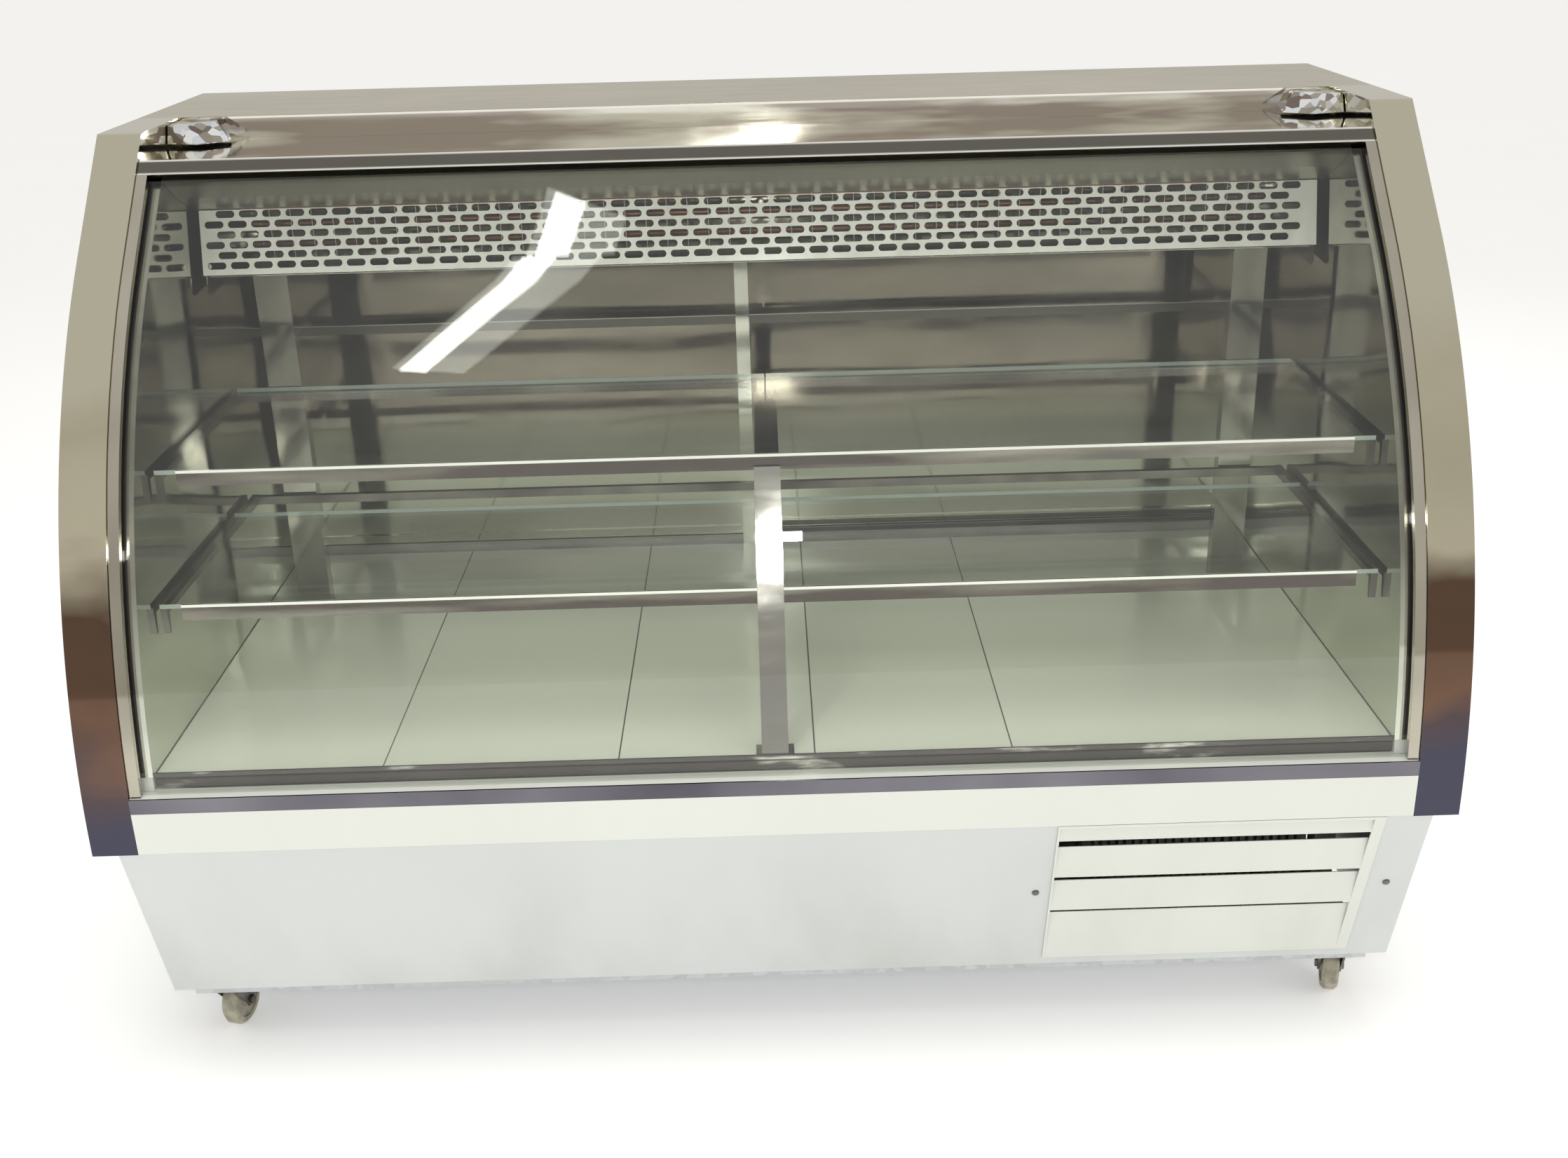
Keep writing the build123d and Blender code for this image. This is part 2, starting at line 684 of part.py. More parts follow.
def condenser_fan():
    cx, cy, cz = fan_centre
    hub = Cylinder(22, 18) - Cylinder(0.5, 1)
    shaft = Pos(0, 0, -16) * Cylinder(4.0, 24)
    blades = []
    for n in range(4):
        paddle = Pos(52, 0, 0) * Rot(24, 0, 0) * Box(72, 44, 2)
        blades.append(Rot(0, 0, 90 * n) * paddle)
    swept = hub + blades + shaft
    return Pos(cx, cy, cz) * Rot(90, 0, 0) * (swept & Cylinder(fan_r, 80))


def refrigerant_pipes():
    """Suction and liquid lines from the compressor up through the floor behind the display."""
    pipes = []
    for dx, z0, r in ((-30, 302, 6.0), (30, 302, 4.0)):
        x = compressor_centre[0] + dx
        y = compressor_centre[1]
        end = (x, 300, floor_bottom_z - clearance)
        path = FilletPolyline([(x, y, z0), (x, y, 352), (x, 300, 352), end], radius=18)
        pipes.append(sweep(Plane(origin=path @ 0, z_dir=path % 0) * Circle(r), path))
    return Compound(children=pipes)


# ---- casters ----

def placed(name, shape):
    x, y, turn = casters[name]
    return Pos(x, y, 0) * Rot(0, 0, turn) * shape


def caster_plates():
    """Fixing plates with bolt heads and a bearing boss."""
    plates = []
    for x, y, _ in casters.values():
        plate = Pos(0, 0, pan_bottom_z - 1.4) * Box(56, 56, 2.8)
        boss = Pos(0, 0, 90) * Cylinder(18, 9)
        head = extrude(RegularPolygon(4.5, 6), 3.6)
        bolts = [Pos(dx, dy, 92.4) * head for dx in (-21, 21) for dy in (-21, 21)]
        plates.append(Pos(x, y, 0) * (plate + boss + bolts - Pos(0, 0, 90) * Cylinder(6.05, 30)))
    return Compound(children=plates)


def caster_fork(name):
    """Crown, two legs, kingpin and the axle bolt; a braked one also has the pedal's pin."""
    gap = wheel_width / 2 + 2.4
    outline = Polyline([
        (-17, 84), (-17, 78), (15, 36), (18, 29), (30, 29), (33, 36),
        (42, 68), (55, 71), (56, 81), (50, 84)],
        close=True)
    leg = Pos(0, -gap, 0) * extrude(Plane.XZ * make_face(outline), 2.6)
    crown = Pos(2, 0, 82) * Box(38, 2 * gap + 5.2, 3.2)
    race = Pos(0, 0, 84.3) * Cylinder(16, 1.6)
    kingpin = Pos(0, 0, 89) * Cylinder(6.0, 12)
    axle = Pos(caster_offset, 0, wheel_r) * Rot(90, 0, 0) * Cylinder(axle_r, 2 * gap + 10)
    nut = extrude(RegularPolygon(6.5, 6), 2, both=True)
    heads = [
        Pos(caster_offset, side * (gap + 4.4), wheel_r) * Rot(90, 0, 0) * nut
        for side in (-1, 1)
    ]
    shape = leg + mirror(leg, Plane.XZ) + crown + race + kingpin + axle + heads
    if name in braked:
        shape += Pos(brake_pin[0], 0, brake_pin[1]) * Rot(90, 0, 0) * Cylinder(brake_pin_r, 2 * gap + 5.2)
    return placed(name, shape)


def caster_wheel(name):
    """Cream wheel with a hub that runs on the axle bolt."""
    half = wheel_width / 2
    tread = Polyline([
        (axle_r + 0.06, 0), (axle_r + 0.06, half + 1.6), (11, half + 1.6), (11, half - 3), (27, half - 3),
        (27, half - 0.5), (wheel_r - 4, half - 0.5), (wheel_r, half - 5), (wheel_r, 0)], close=True)
    side = revolve(Plane.XZ * make_face(tread), Axis.Z)
    ring = side + mirror(side, Plane.XY)
    return placed(name, Pos(caster_offset, 0, wheel_r) * Rot(90, 0, 0) * ring)


def caster_brake(name):
    """Pedal that hinges on a pin between the fork's ears, behind the wheel."""
    x, z = brake_pin
    lever = polygon([(x + 1, z + 5.4), (84, 70), (85, 66.5), (82, 66), (x, z - 5.8)])
    hub = Pos(x, z) * Circle(6)
    bore = Pos(x, z) * Circle(brake_pin_r + 0.05)
    pedal = extrude(Plane.XZ * (lever + hub - bore), wheel_width / 2, both=True)
    return placed(name, pedal)


# ---- write every piece to its own file ----

nodes = {
    "end_panel_right": end_panel(),
    "end_liner_right": end_liner(),
    "end_cap_right": end_cap(),
    "front_glass": front_glass(),
    "top_panel": top_panel(),
    "top_fascia": top_fascia(),
    "canopy_liner": canopy_liner(),
    "evaporator_grille": evaporator_grille(),
    "evaporator_coil": evaporator_coil(),
    "evaporator_tray": evaporator_tray(),
    "deck_panels": deck_panels(),
    "insulated_floor": insulated_floor(),
    "kerb_angle": kerb_angle(),
    "glass_ledge": glass_ledge(),
    "bumper_trim": bumper_trim(),
    "front_bumper": front_bumper(),
    "centre_post": centre_post(),
    "shelf_uprights": shelf_uprights(),
    "rear_header": rear_header(),
    "door_tracks": door_tracks(),
    "rear_door_left": rear_door("left"),
    "rear_door_right": rear_door("right"),
    "rear_lower_panel": rear_lower_panel(),
    "control_panel": control_panel(),
    "thermostat_knob": thermostat_knob(),
    "power_switch": power_switch(),
    "base_front_panel": base_front_panel(),
    "louvre_panel": louvre_panel(),
    "base_side_right": base_side(),
    "base_frame": base_frame(),
    "panel_screws": panel_screws(),
    "compressor": compressor(),
    "condenser": condenser(),
    "fan_shroud": fan_shroud(),
    "condenser_fan": condenser_fan(),
    "refrigerant_pipes": refrigerant_pipes(),
    "caster_plates": caster_plates(),
}
for piece in ("end_panel", "end_liner", "end_cap", "base_side"):
    nodes[piece + "_left"] = mirrored(nodes[piece + "_right"])
nodes["glass_beads"] = Compound(children=[glass_bead(), mirrored(glass_bead())])
for tier in shelves:
    nodes[tier + "_shelf_frame"] = shelf_frame(tier)
    nodes[tier + "_shelf_rail"] = shelf_rail(tier)
    for side in ("left", "right"):
        nodes[tier + "_shelf_glass_" + side] = shelf_pane(tier, side)
for corner in casters:
    nodes["caster_fork_" + corner] = caster_fork(corner)
    nodes["caster_wheel_" + corner] = caster_wheel(corner)
for corner in braked:
    nodes["caster_brake_" + corner] = caster_brake(corner)

os.makedirs("parts", exist_ok=True)
for name, shape in nodes.items():
    export_step(shape, "parts/" + name + ".step")
print(len(nodes), "pieces written")
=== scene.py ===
from math import atan2, cos, radians, sin

import bmesh
import bpy
from mathutils import Matrix, Vector


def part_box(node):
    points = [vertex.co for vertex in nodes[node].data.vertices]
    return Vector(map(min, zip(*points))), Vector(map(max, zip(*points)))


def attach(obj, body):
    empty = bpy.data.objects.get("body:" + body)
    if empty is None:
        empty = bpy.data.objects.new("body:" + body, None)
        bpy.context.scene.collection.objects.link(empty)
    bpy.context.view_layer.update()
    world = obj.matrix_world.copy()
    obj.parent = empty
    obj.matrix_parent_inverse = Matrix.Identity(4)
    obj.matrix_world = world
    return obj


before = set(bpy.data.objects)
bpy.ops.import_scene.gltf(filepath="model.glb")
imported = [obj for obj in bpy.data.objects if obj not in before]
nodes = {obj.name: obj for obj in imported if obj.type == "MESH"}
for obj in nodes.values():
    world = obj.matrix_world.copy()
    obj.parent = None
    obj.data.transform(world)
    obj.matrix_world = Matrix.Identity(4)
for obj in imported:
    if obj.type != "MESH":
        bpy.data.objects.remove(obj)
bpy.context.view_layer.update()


# Polished shell: end caps, level top, fascia and the canopy behind the glass.
# Folded 1.2 mm stainless sheet with a mirror finish, welded at the corners.
# The sheet is slightly wavy and carries soft wiping marks and a few fine scratches.
class Field:
    """A shader socket that takes part in sums like a number."""

    def __init__(self, finish, socket):
        self.finish = finish
        self.socket = socket

    def sum(self, operation, *terms):
        return self.finish.node("Math", {"operation": operation}, dict(enumerate(terms)))

    def __add__(self, other):
        return self.sum("ADD", self, other)

    def __sub__(self, other):
        return self.sum("SUBTRACT", self, other)

    def __mul__(self, other):
        return self.sum("MULTIPLY", self, other)

    def __truediv__(self, other):
        return self.sum("DIVIDE", self, other)

    def __pow__(self, other):
        return self.sum("POWER", self, other)

    def __rsub__(self, other):
        return self.sum("SUBTRACT", other, self)

    def __gt__(self, other):
        return self.sum("GREATER_THAN", self, other)

    def __lt__(self, other):
        return self.sum("LESS_THAN", self, other)

    def __abs__(self):
        return self.sum("ABSOLUTE", self)

    __radd__ = __add__
    __rmul__ = __mul__

    def step(self, low, high):
        """0 below low, 1 above high and a ramp between."""
        return self.finish.node("MapRange", {}, {"Value": self, "From Min": low, "From Max": high})


class Finish:
    """A procedural surface finish with one main shader."""

    def __init__(self, name, **constants):
        self.material = bpy.data.materials.new(name)
        self.material.use_nodes = True
        self.tree = self.material.node_tree
        self.shader = self.tree.nodes["Principled BSDF"]
        for title, value in constants.items():
            self.shader.inputs[title.replace("_", " ")].default_value = value
        self.place = self.node("TexCoord", {}, {}, "Object")

    def node(self, kind, settings, sockets, output=0):
        """A shader node with its settings, then its sockets' values or links."""
        made = self.tree.nodes.new("ShaderNode" + kind)
        for title, value in settings.items():
            if title == "stops":
                ramp = made.color_ramp
                ramp.elements[0].position, ramp.elements[0].color = value[0][0], (*value[0][1], 1)
                ramp.elements[1].position, ramp.elements[1].color = value[-1][0], (*value[-1][1], 1)
                for at, colour in value[1:-1]:
                    ramp.elements.new(at).color = (*colour, 1)
            else:
                setattr(made, title, value)
        for title, value in sockets.items():
            socket = made.inputs[title]
            if isinstance(value, Field):
                self.tree.links.new(value.socket, socket)
            else:
                socket.default_value = value
        return Field(self, made.outputs[output])

    def axis(self, name, place=None):
        return self.node("SeparateXYZ", {}, {0: place or self.place}, name)

    def stretched(self, scale):
        return self.node("Mapping", {}, {"Vector": self.place, "Scale": scale})

    def noise(self, scale, detail=2.0, place=None, rough=0.5):
        return self.node("TexNoise", {}, {
            "Vector": place or self.place, "Scale": scale, "Detail": detail, "Roughness": rough})

    def mix(self, share, first, second):
        """A colour between two, as (r, g, b) or a Field."""
        colours = [c if isinstance(c, Field) else (*c, 1) for c in (first, second)]
        return self.node("Mix", {"data_type": "RGBA"}, {0: share, 6: colours[0], 7: colours[1]}, 2)

    def ramp(self, share, stops):
        return self.node("ValToRGB", {"stops": stops}, {0: share})

    def feed(self, **fields):
        for title, field in fields.items():
            self.tree.links.new(field.socket, self.shader.inputs[title.replace("_", " ")])
        return self

    def bump(self, height, distance, strength=1.0, under=None):
        sockets = {"Height": height, "Distance": distance, "Strength": strength}
        if under:
            sockets["Normal"] = under
        return self.node("Bump", {}, sockets)

    def put_on(self, *names):
        """Covers whole CAD nodes with this finish."""
        for name in names:
            skin = nodes[name].data.materials
            skin.clear()
            skin.append(self.material)
        return self


def mirror_steel(name, bright, dark, wave, scratch=0.03):
    """Polished stainless sheet: cloudy tint, wavy face, wiping marks."""
    steel = Finish(name, Metallic=1.0)
    cloud = steel.noise(2.2, 3.0, rough=0.55)
    wipe = steel.noise(9.0, 4.0, steel.stretched((1.0, 3.0, 3.0)))
    grain = steel.noise(160.0, 2.0, steel.stretched((1.0, 14.0, 14.0)))
    wide = steel.noise(1.7, 1.0, steel.stretched((0.8, 1.6, 1.9)))
    steel.feed(
        Base_Color=steel.mix(cloud.step(0.3, 0.7), dark, bright),
        Roughness=0.035 + wipe.step(0.42, 0.75) * 0.09 + grain * scratch,
        Normal=steel.bump(grain, 0.000012, 0.25, steel.bump(wide, wave, 1.0)))
    return steel


cap_steel = mirror_steel("cap_polished_steel", (0.60, 0.56, 0.43), (0.44, 0.40, 0.29), 0.006)
# End caps: the colour is painted reflection in bands up the height: dark blue-grey and brown low down, light
# beige high up, wavered by a noise swirl. The top face keeps a plain light steel colour without the bands.
height_up = cap_steel.axis("Z")
reflection_swirl = cap_steel.noise(2.6, 4.0, cap_steel.stretched((1.0, 1.0, 2.0)))
level = height_up + (reflection_swirl - 0.5) * 0.34
painted_reflection_bands = cap_steel.ramp(level, [
    (0.42, (0.07, 0.07, 0.10)), (0.50, (0.10, 0.075, 0.08)), (0.56, (0.19, 0.11, 0.075)),
    (0.68, (0.14, 0.09, 0.06)), (0.76, (0.62, 0.57, 0.43)), (0.90, (0.50, 0.46, 0.34)),
    (1.0, (0.58, 0.55, 0.43))])
crown = height_up.step(1.2525, 1.2545)
cap_steel.feed(Base_Color=cap_steel.mix(crown, painted_reflection_bands, (0.64, 0.60, 0.47)))
cap_steel.put_on("end_cap_left", "end_cap_right")

top_steel = mirror_steel("top_polished_steel", (0.64, 0.58, 0.45), (0.52, 0.47, 0.36), 0.002)
top_steel.feed(Roughness=0.16 + top_steel.noise(9.0, 4.0, top_steel.stretched((1.0, 3.0, 3.0))) * 0.14)
top_steel.put_on("top_panel")

fascia_steel = mirror_steel("fascia_polished_steel", (0.62, 0.58, 0.46), (0.40, 0.36, 0.27), 0.004)
low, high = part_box("top_fascia")
lip_depth = 0.0171
crest_y = low.y + lip_depth
depth_in = fascia_steel.axis("Y")
up_z = fascia_steel.axis("Z")
# Fascia: all colour here is painted reflection. The lip is dark with bright edges, which are painted
# highlights; the step has grey and pale patches and a bright band along its top, a painted highlight; the
# shelf is pale olive with patches.
reflection_patch = fascia_steel.noise(1.6, 3.0, fascia_steel.stretched((1.6, 1.0, 14.0))).step(0.44, 0.58)
lip_share = (depth_in - low.y) / lip_depth
lip_highlight_edge = abs(lip_share - 0.5).step(0.34, 0.44)
lip_painted_reflection = fascia_steel.mix(lip_highlight_edge, (0.16, 0.15, 0.13), (0.95, 0.94, 0.88))
step_painted_reflection = fascia_steel.mix(reflection_patch, (0.42, 0.37, 0.33), (0.84, 0.82, 0.73))
step_painted_highlight = (up_z - high.z + 0.004).step(0.0, 0.002)
step_painted_reflection = fascia_steel.mix(step_painted_highlight, step_painted_reflection, (0.95, 0.93, 0.85))
shelf_painted_reflection = fascia_steel.mix(reflection_patch * 0.6, (0.90, 0.87, 0.74), (0.70, 0.66, 0.54))
flat_or_step = fascia_steel.mix(depth_in > high.y - 0.003, shelf_painted_reflection, step_painted_reflection)
fascia_steel.feed(Base_Color=fascia_steel.mix(depth_in < crest_y + 0.0006, flat_or_step, lip_painted_reflection))
fascia_steel.put_on("top_fascia")

canopy_steel = mirror_steel("canopy_polished_steel", (0.50, 0.48, 0.40), (0.36, 0.34, 0.27), 0.002)
canopy_steel.feed(Roughness=0.30 + canopy_steel.noise(8.0, 3.0) * 0.1)
canopy_steel.put_on("canopy_liner")


# Lining of the display: end walls, header, doors, uprights and drip tray.
# Bright-annealed stainless that mirrors the inside; its colours are also painted dark and olive, a painted
# reflection of the inside, darker still on the header and doors.
# Thin sheet over foam, which leaves it wavy; painted lighter low down, a painted reflection of the floor
# panels beside it.
def lining(name, deck_reflection_tint, bright, dark, wave, seller_side=None):
    """Wavy lining steel; past seller_side, a Y, it is plain and faces the seller."""
    steel = mirror_steel(name, bright, dark, wave, 0.02)
    cloud = steel.noise(2.0, 4.0, steel.stretched((0.7, 1.0, 2.6)), 0.6)
    # Below about 0.7 m the inner face is painted a light cream-grey, a painted reflection of the floor
    # panels.
    rise = (steel.axis("Z") + (cloud - 0.5) * 0.05).step(0.63, 0.74)
    inside = steel.mix(rise, deck_reflection_tint, steel.mix(cloud.step(0.35, 0.68), dark, bright))
    if seller_side is None:
        return steel.feed(Base_Color=inside)
    outside = steel.mix(cloud.step(0.35, 0.68), (0.42, 0.41, 0.36), (0.52, 0.51, 0.46))
    return steel.feed(Base_Color=steel.mix(steel.axis("Y") > seller_side, inside, outside))


# The end walls, and more darkly the header and doors, are painted dark olive, a painted reflection of the
# inside.
side_steel = lining("side_lining_steel", (0.74, 0.75, 0.67), (0.44, 0.43, 0.36), (0.20, 0.19, 0.155), 0.009)
side_steel.put_on("end_liner_left", "end_liner_right")
for leaf in ("rear_header", "rear_door_left", "rear_door_right"):
    low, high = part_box(leaf)
    leaf_steel = lining(leaf + "_steel", (0.66, 0.67, 0.58), (0.30, 0.275, 0.215), (0.16, 0.14, 0.11),
                        0.006, (low.y + high.y) / 2)
    leaf_steel.put_on(leaf)

tray_steel = mirror_steel("tray_polished_steel", (0.40, 0.38, 0.32), (0.22, 0.21, 0.17), 0.003)
# The tray's hangers, more than 0.795 m out from the middle, are painted near black, a painted shade; the rest
# of the tray is a plain olive-grey.
painted_shade_hanger = abs(tray_steel.axis("X")) > 0.795
tray_steel.feed(Base_Color=tray_steel.mix(painted_shade_hanger, (0.34, 0.33, 0.27), (0.05, 0.045, 0.04)))
tray_steel.put_on("evaporator_tray")

upright_steel = mirror_steel("upright_polished_steel", (0.50, 0.50, 0.44), (0.24, 0.235, 0.20), 0.004)
inboard = upright_steel.axis("X")
# A narrow band of the uprights, 15 to 55 mm left of the middle, is painted pale, a painted highlight;
# elsewhere they have light and dark vertical streaks.
painted_highlight_strip = abs(inboard + 0.035) < 0.02
upright_steel.feed(Base_Color=upright_steel.mix(
    painted_highlight_strip, upright_steel.mix(upright_steel.noise(3.0, 3.0, upright_steel.stretched((6, 1, 1))),
                            (0.16, 0.155, 0.13), (0.50, 0.50, 0.44)), (0.66, 0.66, 0.57)))
upright_steel.put_on("shelf_uprights")

bead_steel = mirror_steel("bead_polished_steel", (0.58, 0.55, 0.46), (0.30, 0.27, 0.22), 0.002)
bead_steel.put_on("glass_beads")
post_steel = mirror_steel("post_polished_steel", (0.58, 0.57, 0.52), (0.30, 0.28, 0.26), 0.003)
post_steel.put_on("centre_post")

# Kerb: painted near black, a painted dark reflection, with sparse bright spots that are painted glints.
kerb_steel = mirror_steel("kerb_polished_steel", (0.20, 0.18, 0.15), (0.07, 0.06, 0.05), 0.004)
painted_glint = kerb_steel.noise(7.0, 4.0, kerb_steel.stretched((1.0, 4.0, 4.0))).step(0.60, 0.70)
kerb_steel.feed(Base_Color=kerb_steel.mix(painted_glint, (0.09, 0.08, 0.07), (0.85, 0.84, 0.76)))
kerb_steel.put_on("kerb_angle")

for tier in ("upper", "lower"):
    rail_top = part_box(tier + "_shelf_rail")[1].z
    rail_steel = mirror_steel(tier + "_rail_steel", (0.40, 0.38, 0.32), (0.10, 0.09, 0.08), 0.002)
    # Shelf rails: a thin band at the top edge is painted near white, a painted highlight; the face is dark
    # brown and olive in long clouds, a painted reflection.
    lip = (rail_steel.axis("Z") - rail_top).step(-0.0045, -0.0035)
    long_reflection_cloud = rail_steel.noise(2.0, 3.0, rail_steel.stretched((1.0, 1.0, 10.0)))
    rail_steel.feed(Base_Color=rail_steel.mix(lip, rail_steel.mix(
        long_reflection_cloud.step(0.45, 0.65), (0.10, 0.085, 0.075), (0.34, 0.32, 0.27)), (0.92, 0.92, 0.86)))
    rail_steel.put_on(tier + "_shelf_rail")

# Bumper trim: dark slate-blue tones, a painted reflection.
trim_steel = mirror_steel("trim_polished_steel", (0.24, 0.23, 0.26), (0.08, 0.075, 0.095), 0.002)
trim_steel.put_on("bumper_trim")


# Shelf frames: welded flat bar, brushed and dulled at the welds.
# The grain runs from front to back, along the arms.
frame_steel = Finish("shelf_frame_steel", Metallic=1.0)
brush = frame_steel.noise(240.0, 3.0, frame_steel.stretched((1.0, 0.08, 1.0)))
weld = frame_steel.noise(9.0, 2.0)
frame_steel.feed(
    Base_Color=frame_steel.mix(weld.step(0.35, 0.7), (0.10, 0.095, 0.085), (0.28, 0.27, 0.24)),
    Roughness=0.14 + brush * 0.12,
    Normal=frame_steel.bump(brush, 0.00003, 0.3))
frame_steel.put_on("upper_shelf_frame", "lower_shelf_frame")


# Front glass: one curved 6 mm toughened sheet, fixed under the fascia lip.
# Seen almost clear, with a stronger mirror at a shallow angle and faint wiping marks.
def sheet_glass(name, edge=None):
    """Clear float glass that lets lamps through, with a green edge where edge says."""
    glass = Finish(name, Base_Color=(1, 1, 1, 1), Metallic=1.0)
    facing = glass.node("LayerWeight", {}, {"Blend": 0.5}, "Facing")
    haze = glass.noise(5.0, 4.0, glass.stretched((1, 2.2, 0.6))).step(0.45, 0.8)
    glass.feed(Roughness=0.01 + haze * 0.03)
    clear = glass.node("BsdfTransparent", {}, {"Color": (0.975, 0.983, 0.972, 1)})
    share = 0.035 + 0.85 * facing ** 5.0 + haze * 0.012
    top = glass.node("MixShader", {}, {0: share, 1: clear, 2: Field(glass, glass.shader.outputs[0])})
    if edge:
        green = glass.node("BsdfPrincipled", {}, {
            "Base Color": (0.42, 0.50, 0.45, 1), "Roughness": 0.12, "Coat Weight": 0.6})
        top = glass.node("MixShader", {}, {0: edge(glass), 1: top, 2: green})
    out = glass.tree.nodes["Material Output"]
    glass.tree.links.new(top.socket, out.inputs["Surface"])
    return glass


front_sheet = sheet_glass("front_glass_clear")
front_sheet.put_on("front_glass")


# Shelf glass: four flat 6 mm panes, two to a tier, with polished edges.
# The edges are pale green, the faces clear.
for tier in ("upper", "lower"):
    low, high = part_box(tier + "_shelf_glass_right")
    pane = sheet_glass(
        tier + "_shelf_glass_clear",
        lambda g, low=low, high=high: (
            (g.axis("Y") < low.y + 0.0006) + (g.axis("Y") > high.y - 0.0006)).step(0, 1))
    pane.put_on(tier + "_shelf_glass_left", tier + "_shelf_glass_right")


# Evaporator grille: white painted sheet with staggered slots.
# The paint is a little thick at the slot edges and dusty below them.
grille_paint = Finish("grille_white_paint", Coat_Weight=0.4, Coat_Roughness=0.15)
dust = grille_paint.noise(26.0, 4.0, grille_paint.stretched((1, 1, 0.4)))
grille_paint.feed(
    Base_Color=grille_paint.mix(dust.step(0.4, 0.8), (0.86, 0.88, 0.80), (0.70, 0.70, 0.62)),
    Roughness=0.28 + dust * 0.2,
    Normal=grille_paint.bump(grille_paint.noise(420.0, 2.0), 0.00015, 0.4))
grille_paint.put_on("evaporator_grille")


# Evaporator coil: copper tubes through bright aluminium fins.
# The tubes brown where they have been brazed.
coil = Finish("evaporator_copper", Metallic=1.0)
fin_gaps = 47
tube_end = 0.0448
fin_pitch = 2 * (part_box("evaporator_coil")[1].x - tube_end) / fin_gaps
braze = coil.noise(18.0, 3.0)
fin_phase = coil.axis("X") / fin_pitch + 1.5 * fin_gaps
fin = coil.node("Math", {"operation": "PINGPONG"}, {0: fin_phase, 1: 0.5}) < 0.03
coil.feed(
    Base_Color=coil.mix(fin, coil.mix(braze.step(0.35, 0.7), (0.72, 0.36, 0.20), (0.36, 0.17, 0.10)),
                        (0.74, 0.75, 0.76)),
    Roughness=0.26 + braze * 0.2)
coil.put_on("evaporator_coil")


# Corner gussets: small folded plates that close both ends of the recess behind the fascia lip.
# Bright steel, cut on the slant and welded in. Its colour is painted reflection: the cells of a Voronoi
# pattern are each painted a colour from dark brown through grey and pale blue to white, and each cell has a
# bump of its own.
def start(kind, name, **shape):
    """Adds a primitive and opens its mesh for shaping."""
    bpy.ops.object.select_all(action="DESELECT")
    getattr(bpy.ops.mesh, "primitive_" + kind + "_add")(**shape)
    piece = bpy.context.object
    piece.name = name
    bpy.ops.object.mode_set(mode="EDIT")
    return piece


def pick(piece, rule, kind="faces"):
    """Selects only the faces or edges of the open mesh that rule says yes to."""
    bpy.ops.mesh.select_all(action="DESELECT")
    bpy.ops.mesh.select_mode(type=kind[:4].upper())
    mesh = bmesh.from_edit_mesh(piece.data)
    for part in getattr(mesh, kind):
        part.select_set(rule(part))
    bmesh.update_edit_mesh(piece.data)


def seat(piece, body="cabinet"):
    """Says which body a finished piece rides on."""
    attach(piece, body)
    return piece


def close_up(piece, finish, body="cabinet", crease=35):
    """Ends the shaping: place applied, shaded, finished and seated."""
    bpy.ops.object.mode_set(mode="OBJECT")
    bpy.ops.object.transform_apply(location=True, rotation=True, scale=True)
    bpy.ops.object.shade_smooth_by_angle(angle=radians(crease))
    piece.data.materials.clear()
    piece.data.materials.append(finish.material)
    return seat(piece, body)


def again(piece, name, place, body="cabinet"):
    """A copy of a finished piece with a mesh of its own, moved or mirrored by place."""
    twin = bpy.data.objects.new(name, piece.data.copy())
    bpy.context.scene.collection.objects.link(twin)
    twin.data.transform(place)
    if place.determinant() < 0:
        twin.data.flip_normals()
    return seat(twin, body)


gusset_steel = mirror_steel("gusset_polished_steel", (0.95, 0.94, 0.88), (0.50, 0.46, 0.36), 0.003)
facet = gusset_steel.node("TexVoronoi", {}, {"Vector": gusset_steel.place, "Scale": 75.0}, "Color")
# Each Voronoi cell is painted its own colour from dark brown to white, a painted reflection.
gusset_steel.feed(
    Base_Color=gusset_steel.ramp(gusset_steel.axis("X", facet), [
        (0.0, (0.20, 0.15, 0.13)), (0.35, (0.52, 0.49, 0.42)), (0.62, (0.80, 0.84, 0.88)), (1.0, (1, 1, 1))]),
    Normal=gusset_steel.bump(gusset_steel.axis("Y", facet), 0.006, 0.9))
gusset_size = Vector((0.094, 0.086, 0.025))
gusset_corner = Vector((0.8388, 0.1456, 1.2515))
gusset_middle = gusset_corner - gusset_size / 2
gusset = start("cube", "corner_gusset_right", size=1.0, location=gusset_middle, scale=gusset_size)
for cut, slant in (((-0.10, -0.10, 0.0), (-0.35, -0.45, 0.82)), ((-0.28, 0.05, 0.0), (-0.80, 0.20, 0.55)),
                   ((0.15, -0.30, 0.0), (0.25, -0.85, 0.45))):
    bpy.ops.mesh.select_all(action="SELECT")
    bpy.ops.mesh.bisect(
        plane_co=gusset_middle + Vector(cut) * gusset_size.x, plane_no=slant,
        use_fill=True, clear_outer=True)
bpy.ops.mesh.select_all(action="SELECT")
bpy.ops.mesh.bevel(offset=0.0012, segments=2)
close_up(gusset, gusset_steel, crease=20)
mirror_x = Matrix.Diagonal((-1, 1, 1, 1))
again(gusset, "corner_gusset_left", mirror_x)


